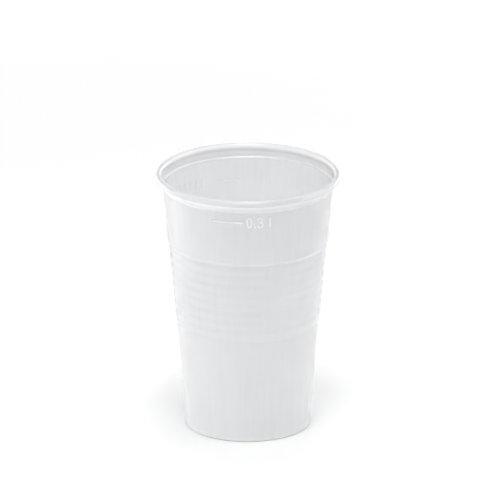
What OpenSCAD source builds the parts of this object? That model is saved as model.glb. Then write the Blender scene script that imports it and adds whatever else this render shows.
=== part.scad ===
// Drinking cup, thermoformed in one piece from a sheet of milky white polypropylene.
// Lengths are in millimetres and angles in degrees. The cup stands on z = 0 with its
// axis on Z, and the fill line faces -Y.

/* [Overall] */
// Outer diameter of the rolled lip
rim_d = 78; // [73:0.5:84]
// Height from the table to the top of the lip
cup_h = 111; // [100:0.5:122]
// Outer diameter of the side wall, carried down to the table
foot_d = 52.6; // [48:0.1:56]

/* [Sheet] */
// Thickness of the side wall
wall_t = 0.25; // [0.2:0.05:0.5]
// Thickness of the bottom and the foot
bottom_t = 0.4; // [0.3:0.05:0.7]
// Thickness of the collar and the lip
lip_t = 0.35; // [0.25:0.05:0.6]

/* [Side wall] */
// Slope of the smooth lower wall, from upright
lower_taper = 4.27; // [3:0.01:5]
// Height of the lower ledge, where the rings begin
low_ledge_z = 46.2; // [40:0.1:52]
// Height of the upper ledge, where the rings end
high_ledge_z = 81; // [74:0.1:88]
// How far the wall steps out at the lower ledge
low_ledge_w = 0.33; // [0:0.01:0.8]
// How far the wall steps out at the upper ledge
high_ledge_w = 0.46; // [0:0.01:0.8]
// Height over which each ledge is rounded
ledge_h = 1.6; // [0.8:0.1:3]

/* [Rings] */
// Number of stiffening rings between the ledges
ring_count = 8; // [4:1:12]
// How far each ring stands out of the wall
ring_w = 0.16; // [0:0.01:0.4]

/* [Stacking shoulder] */
// Depth of the shoulder below the top of the lip
shoulder_drop = 5.75; // [4.5:0.05:8]
// How far the collar steps out over the wall
shoulder_w = 0.6; // [0.3:0.05:1.2]
// Height over which the shoulder is rounded
shoulder_h = 0.9; // [0.5:0.1:1.5]

/* [Lip] */
// Width of the flare from the collar to the top of the lip
flare_w = 1.45; // [1:0.05:2.4]
// Height of the flare from the collar to the top of the lip
flare_h = 2.3; // [1.5:0.1:3]
// Radius of the outward roll
roll_r = 1.45; // [1:0.05:1.8]
// How far the roll curls round, from its top
curl_turn = 215; // [150:5:225]

/* [Foot] */
// Radius of the corner between the wall and the table
foot_corner_r = 1; // [0.8:0.1:2]
// Width of the flat ring that stands on the table
foot_ring_w = 1.2; // [0.6:0.1:2.5]
// Radius of the bends inside the foot ring
foot_bend_r = 1; // [0.8:0.1:1.2]
// Height of the raised bottom over the table
kick_h = 2.8; // [2.5:0.1:5]
// Diameter of the panel in the middle of the bottom
panel_d = 32; // [20:0.5:36]
// How far the middle panel is raised over the rest of the bottom
panel_h = 0.5; // [0:0.05:1]
// Width over which the panel's edge is rounded
panel_edge_w = 1.4; // [0.8:0.1:3]

/* [Fill line] */
// Depth of the fill line below the top of the lip
mark_drop = 10.4; // [9:0.1:14]
// Height of the raised line
mark_h = 0.8; // [0.4:0.05:1.4]
// How far the line stands out of the wall
mark_w = 0.3; // [0.1:0.05:0.6]
// Left end of the line, from the front
mark_start = -24; // [-60:0.5:-10]
// Right end of the line, from the front
mark_end = -3.3; // [-8:0.1:20]

/* [Hidden] */
$fn = 180;
front = -90; // direction of -Y
bend_steps = 6; // points on a quarter bend
ring_steps = 8; // points on each ring
mark_root = 0.1; // depth of the fill line's root in the wall

// Lip and collar, outside face
lip_top_r = rim_d / 2 - roll_r;
collar_r = lip_top_r - flare_w + lip_t;

// Side wall, outside face
shoulder_z = cup_h - shoulder_drop;
wall_top_r = collar_r - shoulder_w;
low_ledge_r = foot_d / 2 + low_ledge_z * tan(lower_taper);
upper_slope = (wall_top_r - high_ledge_w - low_ledge_w - low_ledge_r) / (shoulder_z - low_ledge_z);
ring_low_z = low_ledge_z + ledge_h / 2;
ring_high_z = high_ledge_z - ledge_h / 2;

// Foot, under face
corner_x = foot_d / 2 + foot_corner_r * (tan(lower_taper) - 1 / cos(lower_taper));
bend_x = corner_x - foot_ring_w - 2 * foot_bend_r;

// Soft step from 0 to 1 as x runs from low to high
function soft_step(x, low, high) =
    let (u = min(1, max(0, (x - low) / (high - low)))) u * u * (3 - 2 * u);

// Points of an arc, with the sheet's thickness beside each
function arc(x, z, r, from, to, t) =
    let (n = max(2, ceil(bend_steps * abs(to - from) / 90)))
    [for (i = [0:n]) let (a = from + (to - from) * i / n) [x + r * cos(a), z + r * sin(a), t]];

// Quarter of an oval, from upright to level, with the sheet's thickness beside each point
function quarter_oval(x, z, w, h, t) =
    let (n = 2 * bend_steps)
    [for (i = [0:n]) let (a = 180 - 90 * i / n) [x + w * cos(a), z + h * sin(a), t]];

// Evenly spaced heights, both ends included
function steps(low, high, n) = [for (i = [0:n]) low + (high - low) * i / n];

// How far the rings stand out at height z
function ring_out(z) = z < ring_low_z || z > ring_high_z ? 0
    : ring_w * (1 - cos(360 * ring_count * (z - ring_low_z) / (ring_high_z - ring_low_z))) / 2;

// Outer radius of the side wall at height z, without and with the rings
function cone_r(z) =
    let (lower = foot_d / 2 + z * tan(lower_taper))
    let (upper = wall_top_r - upper_slope * (shoulder_z - z))
    let (middle = upper - high_ledge_w)
    let (low_part = soft_step(z, low_ledge_z - ledge_h / 2, low_ledge_z + ledge_h / 2))
    let (high_part = soft_step(z, high_ledge_z - ledge_h / 2, high_ledge_z + ledge_h / 2))
    lower + (middle - lower) * low_part + (upper - middle) * high_part;
function wall_r(z) = cone_r(z) + ring_out(z);

// Outer radius through the shoulder, from the wall to the upright collar
function shoulder_r(z) =
    let (part = soft_step(z, shoulder_z - shoulder_h / 2, shoulder_z + shoulder_h / 2))
    cone_r(min(z, shoulder_z)) * (1 - part) + collar_r * part;

// Bottom, from the axis to the bend inside the foot ring
panel_in_r = (panel_d - panel_edge_w) / 2;
panel_out_r = (panel_d + panel_edge_w) / 2;
bottom_line = concat(
    [[0, kick_h + panel_h, bottom_t]],
    [for (x = steps(panel_in_r, panel_out_r, bend_steps))
        [x, kick_h + panel_h * (1 - soft_step(x, panel_in_r, panel_out_r)), bottom_t]]);

// Foot ring, from the raised bottom down to the table and up to the wall
foot_line = concat(
    arc(bend_x, kick_h - foot_bend_r, foot_bend_r, 90, 0, bottom_t),
    arc(bend_x + 2 * foot_bend_r, foot_bend_r, foot_bend_r, 180, 270, bottom_t),
    arc(corner_x, foot_corner_r, foot_corner_r, 270, 360 - lower_taper, bottom_t));

// Side wall, with its ledges and rings
wall_line = [for (z = concat(
        steps(low_ledge_z - ledge_h / 2, low_ledge_z + ledge_h / 2, bend_steps),
        steps(ring_low_z, ring_high_z, ring_count * ring_steps),
        steps(high_ledge_z - ledge_h / 2, high_ledge_z + ledge_h / 2, bend_steps)))
    [wall_r(z), z, wall_t]];

// Shoulder and collar
shoulder_line = [for (z = steps(shoulder_z - shoulder_h / 2, shoulder_z + shoulder_h / 2, 2 * bend_steps))
    [shoulder_r(z), z, lip_t]];

// Flare, and the roll that curls outwards and down
lip_line = concat(
    quarter_oval(lip_top_r, cup_h - flare_h, flare_w - lip_t, flare_h - lip_t, lip_t),
    arc(lip_top_r, cup_h - roll_r, roll_r - lip_t, 90, 90 - curl_turn, lip_t));

// Under and outer face of the sheet, from the axis to the end of the roll.
// A point that repeats the one before it is left out.
raw_line = concat(bottom_line, foot_line, wall_line, shoulder_line, lip_line);
outer_line = [for (i = [0:len(raw_line) - 1])
    if (i == 0 || norm(point(raw_line[i]) - point(raw_line[max(0, i - 1)])) > 0.001) raw_line[i]];

// The sheet's other face, one thickness away along the line's own normal
inner_line = [for (i = [0:len(outer_line) - 1])
    let (here = outer_line[i])
    let (along = point(outer_line[min(i + 1, len(outer_line) - 1)]) - point(outer_line[max(i - 1, 0)]))
    point(here) + here[2] * [-along[1], along[0]] / norm(along)];

function point(p) = [p[0], p[1]];

module sheet_section() {
    last = len(outer_line) - 1;
    polygon(concat(
        [for (p = outer_line) point(p)],
        [for (i = [last:-1:0]) inner_line[i]]));
}

// Raised line at the filling height, with a rounded outer face
module fill_line() {
    z = cup_h - mark_drop;
    rotate([0, 0, front + mark_start])
        rotate_extrude(angle = mark_end - mark_start)
            polygon(concat(
                [[cone_r(z) - mark_root, z + mark_h / 2], [cone_r(z) - mark_root, z - mark_h / 2]],
                [for (a = steps(-90, 90, 2 * bend_steps))
                    [cone_r(z) + mark_w * cos(a), z + mark_h / 2 * sin(a)]]));
}

// The whole cup
module cup() {
    color("whitesmoke")
        union() {
            rotate_extrude() sheet_section();
            fill_line();
        }
}

cup();
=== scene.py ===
import bpy
from math import atan2, ceil, cos, hypot, pi, radians, sin, tan
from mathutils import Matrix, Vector


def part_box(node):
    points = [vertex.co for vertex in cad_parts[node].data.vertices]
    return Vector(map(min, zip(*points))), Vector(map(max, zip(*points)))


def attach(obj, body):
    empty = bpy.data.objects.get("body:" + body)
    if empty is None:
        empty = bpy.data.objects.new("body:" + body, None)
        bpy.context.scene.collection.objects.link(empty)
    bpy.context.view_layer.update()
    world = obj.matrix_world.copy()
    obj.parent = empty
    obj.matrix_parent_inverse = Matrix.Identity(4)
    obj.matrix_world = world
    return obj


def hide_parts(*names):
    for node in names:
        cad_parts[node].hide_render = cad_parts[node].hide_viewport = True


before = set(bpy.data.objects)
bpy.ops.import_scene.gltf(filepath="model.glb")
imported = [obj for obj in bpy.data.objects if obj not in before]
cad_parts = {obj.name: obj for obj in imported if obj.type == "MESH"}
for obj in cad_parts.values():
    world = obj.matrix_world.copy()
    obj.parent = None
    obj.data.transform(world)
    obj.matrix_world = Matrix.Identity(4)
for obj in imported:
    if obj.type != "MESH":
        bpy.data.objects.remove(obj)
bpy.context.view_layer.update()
print("frame loaded:", ", ".join(sorted(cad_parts)))

mm = 0.001  # lengths in the dictionaries are millimetres, angles are degrees

# The sheet, as it comes off the mould. The lip's diameter and the height come from the frame.
cupSheet = {
    "footWidth": 52.6, "lowerTaper": 4.27,
    "lowLedge": 46.2, "lowLedgeStep": 0.33, "highLedge": 81.0, "highLedgeStep": 0.46, "ledgeHeight": 1.6,
    "ringCount": 8, "ringStep": 0.16, "pointsPerRing": 8,
    "beadRise": 0.12, "beadHeight": 0.9, "pointsPerBead": 8,
    "shoulderDrop": 5.75, "shoulderStep": 0.6, "shoulderHeight": 0.9,
    "flareWidth": 1.45, "flareHeight": 2.3, "rollRadius": 1.45, "curlTurn": 215.0,
    "cornerRadius": 1.0, "footRing": 1.2, "bendRadius": 1.0,
    "kickHeight": 2.8, "panelWidth": 32.0, "panelHeight": 0.5, "panelEdge": 1.4,
    "bottomThick": 0.4, "wallThick": 0.25, "lipThick": 0.35,
    "footTop": 1.2, "footInset": 0.6,  # below and inside these the sheet is as thick as the bottom
    "pointsPerBend": 6, "segments": 160, "longest": 4.0,
    "samePoint": 0.001, "weld": 0.01, "smoothBelow": 50.0,
    "nearWall": 0.2, "plainWall": (10.0, 40.0),  # a stretch of wall with no ledge, ring or bend
}

# Marks pressed out of the sheet, hollow on the inside: a fill line with its plain figures at the front, and
# index ticks at the back. Angles run to the viewer's right, from the middle of the front or of the back.
raisedMarks = {
    "low": 92.6, "high": 104.3, "slack": 0.1, "rowHeight": 1.46,
    "cuts": 9, "fineRing": 1.1, "fineRows": 1.0, "sideReach": 2.0,  # the sheet is cut fine round each mark
    "flankFrom": 0.25, "flankTo": 1.35,  # a mark's flank, as shares of its half width
    "lineDrop": 10.4, "lineStart": -24.0, "lineEnd": -3.3, "lineWidth": 0.8, "lineRise": 0.3,
    "figureDrop": 10.4, "figureHeight": 5.0, "figureStroke": 0.7, "figureRise": 0.26,
    "zeroAt": 1.0, "zeroHalf": 0.92, "zeroPoints": 24,
    "pointAt": 4.9, "pointLength": 0.05, "pointSwell": 1.25,
    "threeAt": 8.3, "upperBowl": 0.95, "upperPoints": 12, "lowerBowl": 1.1, "lowerPoints": 14,
    "bowlEnd": 150.0, "barAt": 15.2,
    "tickMiddle": 95.8, "tickHeight": 4.4, "tickStroke": 0.5, "tickRise": 0.16,
    "uprightTicks": (-55.0, -49.8, -44.6, -39.4, -34.2, 9.6, 15.2),
    "flatTicks": (-21.0, -14.2, -7.4), "flatLength": 1.9,
}

lowCorner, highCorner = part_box("cup")
lipRadius = (highCorner.x - lowCorner.x) / 2 / mm
cupHeight = highCorner.z / mm


def softStep(x, low, high):
    u = min(1.0, max(0.0, (x - low) / (high - low)))
    return u * u * (3 - 2 * u)


def spread(low, high, count):
    return [low + (high - low) * i / count for i in range(count + 1)]


def ovalPoints(x, z, across, upright, start, end, count):
    return [(x + across * cos(radians(a)), z + upright * sin(radians(a))) for a in spread(start, end, count)]


def arcPoints(x, z, radius, start, end):
    count = max(2, ceil(cupSheet["pointsPerBend"] * abs(end - start) / 90))
    return ovalPoints(x, z, radius, radius, start, end, count)


# Radii and heights that the wall is worked out from
lipTop = lipRadius - cupSheet["rollRadius"]
collarRadius = lipTop - cupSheet["flareWidth"] + cupSheet["lipThick"]
shoulderZ = cupHeight - cupSheet["shoulderDrop"]
wallTop = collarRadius - cupSheet["shoulderStep"]
lowerSlope = tan(radians(cupSheet["lowerTaper"]))
lowLedgeRadius = cupSheet["footWidth"] / 2 + cupSheet["lowLedge"] * lowerSlope
ledgeSteps = cupSheet["highLedgeStep"] + cupSheet["lowLedgeStep"]
upperSlope = (wallTop - ledgeSteps - lowLedgeRadius) / (shoulderZ - cupSheet["lowLedge"])
halfLedge = cupSheet["ledgeHeight"] / 2
ringLow = cupSheet["lowLedge"] + halfLedge
ringHigh = cupSheet["highLedge"] - halfLedge


def wallRadius(z):
    s = cupSheet
    lower = s["footWidth"] / 2 + z * lowerSlope
    upper = wallTop - upperSlope * (shoulderZ - z)
    middle = upper - s["highLedgeStep"]
    lowPart = softStep(z, s["lowLedge"] - halfLedge, ringLow)
    highPart = softStep(z, ringHigh, s["highLedge"] + halfLedge)
    radius = lower + (middle - lower) * lowPart + (upper - middle) * highPart
    if ringLow < z < ringHigh:
        turn = 2 * pi * s["ringCount"] * (z - ringLow) / (ringHigh - ringLow)
        radius += s["ringStep"] * (1 - cos(turn)) / 2
    fromBead = abs(z - s["lowLedge"]) * 2 / s["beadHeight"]
    if fromBead < 1:  # a fine bead along the lower ledge
        radius += s["beadRise"] * (1 + cos(pi * fromBead)) / 2
    return radius


def bottomLine():
    s = cupSheet
    panelIn = (s["panelWidth"] - s["panelEdge"]) / 2
    panelOut = (s["panelWidth"] + s["panelEdge"]) / 2
    middle = [(0.0, s["kickHeight"] + s["panelHeight"])]
    return middle + [(x, s["kickHeight"] + s["panelHeight"] * (1 - softStep(x, panelIn, panelOut)))
                     for x in spread(panelIn, panelOut, s["pointsPerBend"])]


def footLine():
    s = cupSheet
    cornerX = s["footWidth"] / 2 + s["cornerRadius"] * (lowerSlope - 1 / cos(radians(s["lowerTaper"])))
    bendX = cornerX - s["footRing"] - 2 * s["bendRadius"]
    line = arcPoints(bendX, s["kickHeight"] - s["bendRadius"], s["bendRadius"], 90, 0)
    line += arcPoints(bendX + 2 * s["bendRadius"], s["bendRadius"], s["bendRadius"], 180, 270)
    return line + arcPoints(cornerX, s["cornerRadius"], s["cornerRadius"], 270, 360 - s["lowerTaper"])


def wallLine():
    s = cupSheet
    heights = [s["lowLedge"] - halfLedge]
    halfBead = s["beadHeight"] / 2
    heights += spread(s["lowLedge"] - halfBead, s["lowLedge"] + halfBead, s["pointsPerBead"])
    heights += spread(ringLow, ringHigh, s["ringCount"] * s["pointsPerRing"])
    heights += spread(ringHigh, s["highLedge"] + halfLedge, s["pointsPerBend"])
    rows = ceil((raisedMarks["high"] - raisedMarks["low"]) / raisedMarks["rowHeight"])
    heights += spread(raisedMarks["low"], raisedMarks["high"], rows)
    return [(wallRadius(z), z) for z in heights]


def shoulderLine():
    s = cupSheet
    low, high = shoulderZ - s["shoulderHeight"] / 2, shoulderZ + s["shoulderHeight"] / 2
    line = []
    for z in spread(low, high, 2 * s["pointsPerBend"]):
        part = softStep(z, low, high)
        line.append((wallRadius(min(z, shoulderZ)) * (1 - part) + collarRadius * part, z))
    return line


def lipLine():
    s = cupSheet
    flareZ = cupHeight - s["flareHeight"]
    flareWide, flareTall = s["flareWidth"] - s["lipThick"], s["flareHeight"] - s["lipThick"]
    line = ovalPoints(lipTop, flareZ, flareWide, flareTall, 180, 90, 2 * s["pointsPerBend"])
    roll = s["rollRadius"] - s["lipThick"]
    return line + arcPoints(lipTop, cupHeight - s["rollRadius"], roll, 90, 90 - s["curlTurn"])


def sheetOutline():
    # from the axis to the end of the roll; repeats are dropped, and long straight runs get more points
    line = bottomLine() + footLine() + wallLine() + shoulderLine() + lipLine()
    outline = [line[0]]
    for x, z in line[1:]:
        lastX, lastZ = outline[-1]
        length = hypot(x - lastX, z - lastZ)
        if length < cupSheet["samePoint"]:
            continue
        count = ceil(length / cupSheet["longest"])
        outline += [(lastX + (x - lastX) * i / count, lastZ + (z - lastZ) * i / count)
                    for i in range(1, count + 1)]
    return outline


def editOnly(piece, kind="VERT"):
    bpy.ops.object.select_all(action="DESELECT")
    piece.select_set(True)
    bpy.context.view_layer.objects.active = piece
    bpy.ops.object.mode_set(mode="EDIT")
    bpy.ops.mesh.select_mode(type=kind)


def spinSheet():
    bpy.ops.object.select_all(action="DESELECT")
    bpy.ops.mesh.primitive_plane_add(size=mm, location=(0, 0, 0))
    piece = bpy.context.object
    piece.name = "cup_sheet"
    editOnly(piece)
    bpy.ops.mesh.select_all(action="SELECT")
    bpy.ops.mesh.merge(type="CENTER")  # one point, drawn out along the outline
    outline = sheetOutline()
    bpy.ops.transform.translate(value=(outline[0][0] * mm, 0, outline[0][1] * mm))
    for (x0, z0), (x1, z1) in zip(outline, outline[1:]):
        step = ((x1 - x0) * mm, 0, (z1 - z0) * mm)
        bpy.ops.mesh.extrude_vertices_move(TRANSFORM_OT_translate={"value": step})
    bpy.ops.mesh.select_all(action="SELECT")
    bpy.ops.mesh.spin(steps=cupSheet["segments"], angle=2 * pi, center=(0, 0, 0), axis=(0, 0, 1))
    bpy.ops.mesh.select_all(action="SELECT")
    bpy.ops.mesh.remove_doubles(threshold=cupSheet["weld"] * mm)
    bpy.ops.mesh.normals_make_consistent(inside=False)
    bpy.ops.object.mode_set(mode="OBJECT")
    faceOutwards(piece)
    return piece


def faceOutwards(piece):
    # an open sheet has no inside, so one face of the wall says which way all of them point
    low, high = cupSheet["plainWall"]
    wallFace = next(face for face in piece.data.polygons if low < face.center.z / mm < high)
    if wallFace.normal.dot(Vector((wallFace.center.x, wallFace.center.y, 0))) < 0:
        editOnly(piece)
        bpy.ops.mesh.select_all(action="SELECT")
        bpy.ops.mesh.flip_normals()
        bpy.ops.object.mode_set(mode="OBJECT")


def frontMarks():
    # a mark is a line of points, in mm along the wall and above the table, with its half width and its rise
    m = raisedMarks
    lineZ, middle = cupHeight - m["lineDrop"], cupHeight - m["figureDrop"]
    perDegree = radians(1) * wallRadius(middle)
    half, rise = m["figureStroke"] / 2, m["figureRise"]
    tall = m["figureHeight"] / 2 - half
    low, high = middle - tall, middle + tall
    zero, point, three, bar = (m[name] * perDegree for name in ("zeroAt", "pointAt", "threeAt", "barAt"))
    bowl = tall / 2
    upper = ovalPoints(three, middle + bowl, m["upperBowl"], bowl, m["bowlEnd"], -90, m["upperPoints"])
    lower = ovalPoints(three, middle - bowl, m["lowerBowl"], bowl, 90, -m["bowlEnd"], m["lowerPoints"])
    fillLine = [(m[end] * perDegree, lineZ) for end in ("lineStart", "lineEnd")]
    return [
        (fillLine, m["lineWidth"] / 2, m["lineRise"]),
        (ovalPoints(zero, middle, m["zeroHalf"], tall, 0, 360, m["zeroPoints"]), half, rise),
        ([(point, low), (point + m["pointLength"], low)], half * m["pointSwell"], rise),
        (upper + lower[1:], half, rise),
        ([(bar, low), (bar, high)], half, rise),
    ]


def backMarks():
    m = raisedMarks
    z, half, side = m["tickMiddle"], m["tickStroke"] / 2, m["flatLength"] / 2
    tall = (m["tickHeight"] - m["tickStroke"]) / 2
    perDegree = radians(1) * wallRadius(z)
    upright = [[(a * perDegree, z - tall), (a * perDegree, z + tall)] for a in m["uprightTicks"]]
    flat = [[(a * perDegree - side, z), (a * perDegree + side, z)] for a in m["flatTicks"]]
    return [(points, half, m["tickRise"]) for points in upright + flat]


def distanceTo(points, x, z):
    nearest = hypot(x - points[0][0], z - points[0][1])
    for (x0, z0), (x1, z1) in zip(points, points[1:]):
        dx, dz = x1 - x0, z1 - z0
        t = min(1.0, max(0.0, ((x - x0) * dx + (z - z0) * dz) / (dx * dx + dz * dz)))
        nearest = min(nearest, hypot(x - x0 - t * dx, z - z0 - t * dz))
    return nearest


def onWall(place, low, high):
    z = place.z / mm
    return low < z < high and abs(hypot(place.x, place.y) / mm - wallRadius(z)) < cupSheet["nearWall"]


def nearbyMarks(place, marks):
    # the marks beside this place, each with its distance, its half width and its rise
    front = place.y < 0
    z = place.z / mm
    x = atan2(place.x, -place.y if front else place.y) * wallRadius(z)
    reach = raisedMarks["sideReach"]
    for points, half, height in marks[front]:
        if min(p[0] for p in points) - reach < x < max(p[0] for p in points) + reach:
            yield distanceTo(points, x, z), half, height


def markRise(place, marks):
    low, high = raisedMarks["flankFrom"], raisedMarks["flankTo"]
    rises = [height * (1 - softStep(away, half * low, half * high))
             for away, half, height in nearbyMarks(place, marks)]
    return max(rises, default=0.0)


def byMark(place, marks):
    return any(away < half + raisedMarks["fineRing"] for away, half, height in nearbyMarks(place, marks))


def cutFine(piece, marks):
    m = raisedMarks
    editOnly(piece, "FACE")
    bpy.ops.mesh.select_all(action="DESELECT")
    bpy.ops.object.mode_set(mode="OBJECT")
    low, high = m["low"] - m["fineRows"], m["high"] + m["fineRows"]
    for face in piece.data.polygons:
        face.select = onWall(face.center, low, high) and byMark(face.center, marks)
    bpy.ops.object.mode_set(mode="EDIT")
    bpy.ops.mesh.subdivide(number_cuts=m["cuts"])
    bpy.ops.object.mode_set(mode="OBJECT")


def pushOut(piece, weights, name, distance, texture=None):
    group = piece.vertex_groups.new(name=name)
    for index, weight in weights.items():
        group.add([index], weight, "REPLACE")
    push = piece.modifiers.new(name, "DISPLACE")
    push.vertex_group = group.name
    push.strength = distance * mm
    push.mid_level = 0.0
    if texture:
        push.texture = texture
        push.texture_coords = "LOCAL"
        push.mid_level = 0.5  # half of the texture pushes out, and half of it in
    bpy.ops.object.modifier_apply(modifier=push.name)
    piece.vertex_groups.remove(piece.vertex_groups[name])


def pressMarks(piece):
    # the sheet is cut fine round the marks and set back on the true cone, and the marks are pushed out of it
    m = raisedMarks
    marks = {True: frontMarks(), False: backMarks()}
    cutFine(piece, marks)
    highest = max(height for side in marks.values() for points, half, height in side)
    weights = {}
    for vertex in piece.data.vertices:
        if onWall(vertex.co, m["low"] - m["slack"], m["high"] + m["slack"]):
            stretch = wallRadius(vertex.co.z / mm) * mm / hypot(vertex.co.x, vertex.co.y)
            vertex.co.x *= stretch
            vertex.co.y *= stretch
            rise = markRise(vertex.co, marks)
            if rise > 0:
                weights[vertex.index] = rise / highest
    pushOut(piece, weights, "marks", highest)


# The sheet cools a little unevenly, so the wall isn't quite round: it has shallow waves, but none near the
# foot and the lip.
unevenness = {"low": 4.0, "high": 104.0, "fade": 16.0, "waveLength": 26.0, "depth": 0.16}


def warpWall(piece):
    u = unevenness
    cloud = bpy.data.textures.new("cooling_waves", "CLOUDS")
    cloud.noise_scale = u["waveLength"] * mm
    cloud.noise_depth = 1
    weights = {}
    for vertex in piece.data.vertices:
        if onWall(vertex.co, u["low"], u["high"]):
            z = vertex.co.z / mm
            fromFoot = softStep(z, u["low"], u["low"] + u["fade"])
            toLip = softStep(z, u["high"] - u["fade"], u["high"])
            weights[vertex.index] = fromFoot * (1 - toLip)
    pushOut(piece, weights, "waves", u["depth"], cloud)


# Painted light: the plastic is painted whiter on the raised front marks as a painted highlight, and on the
# flare of the lip to lift it out of the shade that the roll behind it leaves. The roll behind the flare shuts
# the light out there. flareEnd and rollStart are radii.
paintedLightAndShut = {
    "markHighlightSpread": 1.8, "flare": 1.0, "roll": 0.2, "flareFrom": 106.9, "flareTo": 108.4,
    "shutFrom": 108.3, "shutTo": 109.0, "flareEnd": 36.6, "rollStart": 37.4,
}


def notePaintedLightAndShut(piece):
    w, m = paintedLightAndShut, raisedMarks
    marks = {True: frontMarks(), False: []}
    paintedLight, shut = [0.0] * len(piece.data.vertices), [0.0] * len(piece.data.vertices)
    for vertex in piece.data.vertices:
        z = vertex.co.z / mm
        # painted light on the flare and, less, on the roll, lifting them out of the shade of the roll behind
        if z > w["flareFrom"]:
            outwards = softStep(hypot(vertex.co.x, vertex.co.y) / mm, w["flareEnd"], w["rollStart"])
            upwards = softStep(z, w["flareFrom"], w["flareTo"])
            paintedLight[vertex.index] = (w["flare"] + (w["roll"] - w["flare"]) * outwards) * upwards
            shut[vertex.index] = (1 - outwards) * softStep(z, w["shutFrom"], w["shutTo"])
        elif vertex.co.y < 0 and m["low"] < z < m["high"]:
            # painted highlight on the raised front marks, stronger where they rise
            paintedLight[vertex.index] = min(1.0, w["markHighlightSpread"] * markRise(vertex.co, marks) / m["figureRise"])
    for name, values in (("paintedLight", paintedLight), ("shut", shut)):
        piece.data.attributes.new(name, "FLOAT", "POINT").data.foreach_set("value", values)


def giveThickness(piece):
    s = cupSheet
    thickest = max(s["bottomThick"], s["wallThick"], s["lipThick"])
    group = piece.vertex_groups.new(name="thickness")
    for vertex in piece.data.vertices:
        z = vertex.co.z / mm
        if z > shoulderZ - s["shoulderHeight"] / 2:
            thick = s["lipThick"]
        elif z < s["footTop"] or hypot(vertex.co.x, vertex.co.y) / mm < wallRadius(z) - s["footInset"]:
            thick = s["bottomThick"]
        else:
            thick = s["wallThick"]
        group.add([vertex.index], thick / thickest, "REPLACE")
    solid = piece.modifiers.new("sheet", "SOLIDIFY")
    solid.thickness = thickest * mm
    solid.offset = -1
    solid.use_even_offset = True
    solid.vertex_group = group.name
    bpy.ops.object.modifier_apply(modifier=solid.name)
    piece.vertex_groups.clear()


sheet = spinSheet()
print("sheet spun:", len(sheet.data.polygons), "faces")
pressMarks(sheet)
warpWall(sheet)
print("marks pressed out:", len(sheet.data.polygons), "faces")
notePaintedLightAndShut(sheet)
giveThickness(sheet)
bpy.ops.object.shade_smooth_by_angle(angle=radians(cupSheet["smoothBelow"]))
sheet.data.calc_loop_triangles()
print("sheet finished:", len(sheet.data.loop_triangles), "triangles")


def linear(hexCode):
    parts = [int(hexCode[i:i + 2], 16) / 255 for i in (1, 3, 5)]
    return tuple(p / 12.92 if p <= 0.04045 else ((p + 0.055) / 1.055) ** 2.4 for p in parts) + (1.0,)


def addNode(tree, kind, values=None, links=None, **settings):
    node = tree.nodes.new(kind)
    for name, value in settings.items():
        setattr(node, name, value)
    # a Mix node has hidden sockets of the same names, so the enabled ones come first
    live = {socket.name: socket for socket in reversed(node.inputs) if socket.enabled}
    for name, value in (values or {}).items():
        (live.get(name) or node.inputs[name]).default_value = value
    for name, socket in (links or {}).items():
        tree.links.new(socket, live.get(name) or node.inputs[name])
    return node


def addNoise(tree, vector, scale, detail, roughness=0.5):
    values = {"Scale": scale, "Detail": detail, "Roughness": roughness}
    return addNode(tree, "ShaderNodeTexNoise", values, {"Vector": vector}).outputs["Fac"]


def addRange(tree, value, start, end, curve="LINEAR"):
    # start and end each pair a value that comes in with the one that goes out for it
    values = {"From Min": start[0], "To Min": start[1], "From Max": end[0], "To Max": end[1]}
    mapped = addNode(tree, "ShaderNodeMapRange", values, {"Value": value}, interpolation_type=curve)
    return mapped.outputs["Result"]


def addMix(tree, share, first, second, blend="MIX"):
    # first is a hex colour or another node's colour, and second is a hex colour
    values, links = {"B": linear(second)}, {"Factor": share}
    if isinstance(first, str):
        values["A"] = linear(first)
    else:
        links["A"] = first
    mix = addNode(tree, "ShaderNodeMix", values, links, data_type="RGBA", blend_type=blend)
    return next(socket for socket in mix.outputs if socket.enabled)


def newMaterial(name):
    material = bpy.data.materials.new(name)
    material.use_nodes = True
    material.node_tree.nodes.clear()
    return material, material.node_tree


# Polypropylene, thermoformed from milky sheet: light passes into it and comes out soft, and the skin has the
# low gloss of plastic that was stretched over a mould. The draw leaves faint upright streaks and cloudy thin
# places, painted shade makes the colour darker towards the lip and lighter at the foot, and the chilled skin
# has a fine grain.
milkyPlastic = {
    # foot and collar: painted shade, the colour goes from light at the foot to darker towards the lip
    "foot": "#e2e3e5", "footTop": 15.0, "collar": "#d2d3d6", "collarTop": 109.0,
    # white: the colour of the painted light on the flare and of the painted highlights on the front marks
    "thin": "#f9fafa", "thinFrom": 0.12, "thinTo": 0.4, "white": "#fbfbfc",
    "ior": 1.49, "roughness": 0.2, "roughnessSwing": 0.09, "dullFrom": 0.25, "dullTo": 0.75, "scatter": 1.5,
    "cloudWidth": 17.0, "cloudDetail": 2.0,
    "streakWidth": 2.4, "streakLength": 60.0, "streakDepth": 0.012,
    "streakDetail": 2.0, "streakRoughness": 0.6,
    "grainWidth": 0.9, "grainDepth": 0.006, "grainDetail": 1.0,  # as fine a grain as the render can show
}


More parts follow.
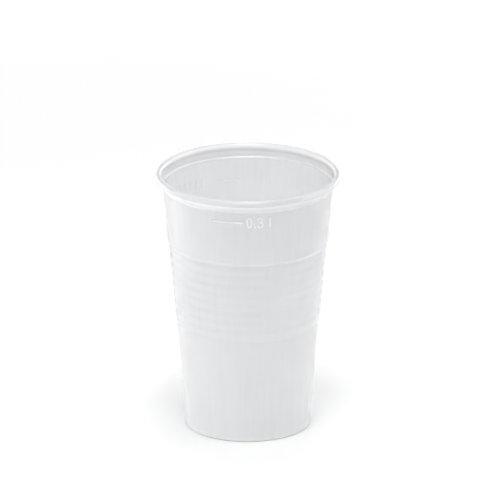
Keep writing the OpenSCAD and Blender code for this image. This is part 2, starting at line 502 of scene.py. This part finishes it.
def milkyPolypropylene():
    m = milkyPlastic
    material, tree = newMaterial("milky_polypropylene")
    place = addNode(tree, "ShaderNodeTexCoord").outputs["Object"]
    across, along = 1 / (m["streakWidth"] * mm), 1 / (m["streakLength"] * mm)
    stretched = addNode(tree, "ShaderNodeMapping", {"Scale": (across, across, along)}, {"Vector": place})
    streaks = addNoise(tree, stretched.outputs["Vector"], 1.0, m["streakDetail"], m["streakRoughness"])
    clouds = addNoise(tree, place, 1 / (m["cloudWidth"] * mm), m["cloudDetail"])
    grain = addNoise(tree, place, 1 / (m["grainWidth"] * mm), m["grainDetail"])
    # colour: painted shade, darker towards the lip and lighter at the foot; thinner along clouds and streaks;
    # and painted light, whiter at the flare, with painted highlights on the marks
    height = addNode(tree, "ShaderNodeSeparateXYZ", links={"Vector": place}).outputs["Z"]
    upwards = addRange(tree, height, (m["footTop"] * mm, 0.0), (m["collarTop"] * mm, 1.0))
    milkWithPaintedShade = addMix(tree, upwards, m["foot"], m["collar"])
    thin = addNode(tree, "ShaderNodeMath", {}, {0: clouds, 1: streaks}, operation="MULTIPLY").outputs["Value"]
    thinness = addRange(tree, thin, (m["thinFrom"], 0.0), (m["thinTo"], 1.0))
    wall = addMix(tree, thinness, milkWithPaintedShade, m["thin"], "MULTIPLY")
    # painted light on the flare and painted highlights on the front marks
    paintedLight = addNode(tree, "ShaderNodeAttribute", attribute_name="paintedLight").outputs["Fac"]
    colour = addMix(tree, paintedLight, wall, m["white"])
    # gloss: a little duller along the streaks
    glossy, dull = m["roughness"] - m["roughnessSwing"] / 2, m["roughness"] + m["roughnessSwing"] / 2
    gloss = addRange(tree, streaks, (m["dullFrom"], glossy), (m["dullTo"], dull))
    drawn = addNode(tree, "ShaderNodeBump", {"Distance": m["streakDepth"] * mm, "Strength": 1.0},
                    {"Height": streaks})
    skin = addNode(tree, "ShaderNodeBump", {"Distance": m["grainDepth"] * mm, "Strength": 1.0},
                   {"Height": grain, "Normal": drawn.outputs["Normal"]})
    # the roll behind the flare shuts the light out, so that stretch reflects more than it lets through
    shut = addNode(tree, "ShaderNodeAttribute", attribute_name="shut").outputs["Fac"]
    through = addRange(tree, shut, (0.0, 1.0), (1.0, 0.0))
    shader = addNode(tree, "ShaderNodeBsdfPrincipled",
                     {"IOR": m["ior"], "Subsurface Scale": m["scatter"] * mm,
                      "Subsurface Radius": (1.0, 1.0, 1.0)},
                     {"Base Color": colour, "Roughness": gloss, "Subsurface Weight": through,
                      "Normal": skin.outputs["Normal"]})
    addNode(tree, "ShaderNodeOutputMaterial", links={"Surface": shader.outputs["BSDF"]})
    return material


sheet.data.materials.clear()
sheet.data.materials.append(milkyPolypropylene())
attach(sheet, "root")
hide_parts("cup")
print("finish given")

# Studio: a pale floor and a pale sky, each evenly bright as far as the eye goes, with soft boxes round the
# cup. A box is placed by its angle to the viewer's right from the front, its angle above the table and its
# distance. The low ones stand just over the floor and shine level.
studio = {
    "floorWidth": 30000.0, "floor": "#f7f7f7", "floorRoughness": 0.9,
    "glow": 0.68, "glowFrom": 350.0, "glowTo": 1300.0,
    "sky": 0.25, "horizon": 1.05, "horizonTop": 2.0, "skyFrom": 8.0,
    "boxDistance": 1800.0, "levelBelow": 25.0, "floorGap": 10.0,
}
softBoxes = {
    "top": {"around": 40, "above": 82, "width": 600, "height": 400, "power": 3.9},
    "front_top": {"around": 0, "above": 75, "width": 700, "height": 600, "power": 6.6},
    "front_high": {"around": 0, "above": 60, "width": 800, "height": 800, "power": 4.8},
    "front": {"around": 0, "above": 30, "width": 1100, "height": 800, "power": 2.0},
    "right": {"around": 90, "above": 30, "width": 1100, "height": 800, "power": 4.4},
    "left_top": {"around": -45, "above": 75, "width": 700, "height": 600, "power": 2.5},
    "behind_top": {"around": 180, "above": 75, "width": 700, "height": 600, "power": 7.4},
    "front_low": {"around": 0, "above": 5, "width": 1200, "height": 320, "power": 1.7},
    "front_left_low": {"around": -45, "above": 5, "width": 1200, "height": 320, "power": 6.1},
    "left_low": {"around": -90, "above": 5, "width": 1200, "height": 320, "power": 5.1},
    "right_low": {"around": 90, "above": 5, "width": 1200, "height": 320, "power": 4.7},
    "behind_right_low": {"around": 135, "above": 5, "width": 1200, "height": 320, "power": 7.2},
    "behind_low": {"around": 180, "above": 5, "width": 1200, "height": 320, "power": 2.6},
    "behind_left_low": {"around": -135, "above": 5, "width": 1200, "height": 320, "power": 5.5},
    "left_near": {"around": -107, "above": 10, "width": 84, "height": 60, "power": 0.017, "distance": 174.0},
}


def addFloor():
    bpy.ops.object.select_all(action="DESELECT")
    bpy.ops.mesh.primitive_plane_add(size=studio["floorWidth"] * mm, location=(0, 0, 0))
    floor = bpy.context.object
    floor.name = "studio_floor"
    material, tree = newMaterial("pale_floor")
    place = addNode(tree, "ShaderNodeTexCoord").outputs["Object"]
    away = addNode(tree, "ShaderNodeVectorMath", links={"Vector": place}, operation="LENGTH").outputs["Value"]
    start, end = (studio["glowFrom"] * mm, 0.0), (studio["glowTo"] * mm, studio["glow"])
    glow = addRange(tree, away, start, end, "SMOOTHSTEP")
    shader = addNode(tree, "ShaderNodeBsdfPrincipled",
                     {"Base Color": linear(studio["floor"]), "Roughness": studio["floorRoughness"],
                      "Emission Color": (1, 1, 1, 1)}, {"Emission Strength": glow})
    addNode(tree, "ShaderNodeOutputMaterial", links={"Surface": shader.outputs["BSDF"]})
    floor.data.materials.append(material)


def addSoftBox(name, box):
    around, above = radians(box["around"]), radians(box["above"])
    distance = box.get("distance", studio["boxDistance"])
    place = Vector((sin(around) * cos(above), -cos(around) * cos(above), sin(above))) * distance
    aim = Vector((0, 0, cupHeight / 2))
    if box["above"] < studio["levelBelow"]:
        place.z = aim.z = box["height"] / 2 + studio["floorGap"]
    bpy.ops.object.light_add(type="AREA", location=place * mm)
    lamp = bpy.context.object
    lamp.name = "soft_box_" + name
    lamp.rotation_euler = (aim - place).to_track_quat("-Z", "Y").to_euler()
    lamp.data.shape = "RECTANGLE"
    lamp.data.size = box["width"] * mm
    lamp.data.size_y = box["height"] * mm
    lamp.data.energy = box["power"]
    lamp.visible_camera = False


def addSky():
    world = bpy.data.worlds.new("white_sky")
    bpy.context.scene.world = world
    world.use_nodes = True
    tree = world.node_tree
    tree.nodes.clear()
    place = addNode(tree, "ShaderNodeTexCoord").outputs["Generated"]
    height = addNode(tree, "ShaderNodeSeparateXYZ", links={"Vector": place}).outputs["Z"]
    start = (sin(radians(studio["horizonTop"])), studio["horizon"])
    end = (sin(radians(studio["skyFrom"])), studio["sky"])
    strength = addRange(tree, height, start, end, "SMOOTHSTEP")
    sky = addNode(tree, "ShaderNodeBackground", {"Color": (1, 1, 1, 1)}, {"Strength": strength})
    addNode(tree, "ShaderNodeOutputWorld", links={"Surface": sky.outputs["Background"]})


addFloor()
addSky()
for boxName, box in softBoxes.items():
    addSoftBox(boxName, box)
bpy.context.scene.view_settings.view_transform = "Standard"
print("studio lit")

# Camera: a long lens from the front, looking down on the cup, which stands a little off the image's middle
camera = {"distance": 6000.0, "elevation": 19.47, "pixelsPerMm": 2.38, "imageWidth": 500,
          "axisPixel": (247.9, 291.1), "axisHeight": 58.0, "sensor": 36.0,
          "nearest": 100.0, "farthest": 30000.0}


def addCamera():
    c = camera
    tilt = radians(c["elevation"])
    back = Vector((0, -cos(tilt), sin(tilt)))
    up = Vector((0, sin(tilt), cos(tilt)))
    middle = c["imageWidth"] / 2
    axisPlace = Vector((0, 0, c["axisHeight"]))
    place = axisPlace + back * c["distance"]
    sideways = Vector((1, 0, 0)) * (middle - c["axisPixel"][0]) / c["pixelsPerMm"]
    aim = axisPlace + sideways + up * (c["axisPixel"][1] - middle) / c["pixelsPerMm"]
    bpy.ops.object.camera_add(location=place * mm)
    eye = bpy.context.object
    eye.name = "camera"
    eye.rotation_euler = (aim - place).to_track_quat("-Z", "Y").to_euler()
    eye.data.sensor_width = c["sensor"]
    eye.data.lens = c["pixelsPerMm"] * c["distance"] / c["imageWidth"] * c["sensor"]
    eye.data.clip_start = c["nearest"] * mm
    eye.data.clip_end = c["farthest"] * mm
    bpy.context.scene.camera = eye


addCamera()
print("camera set")
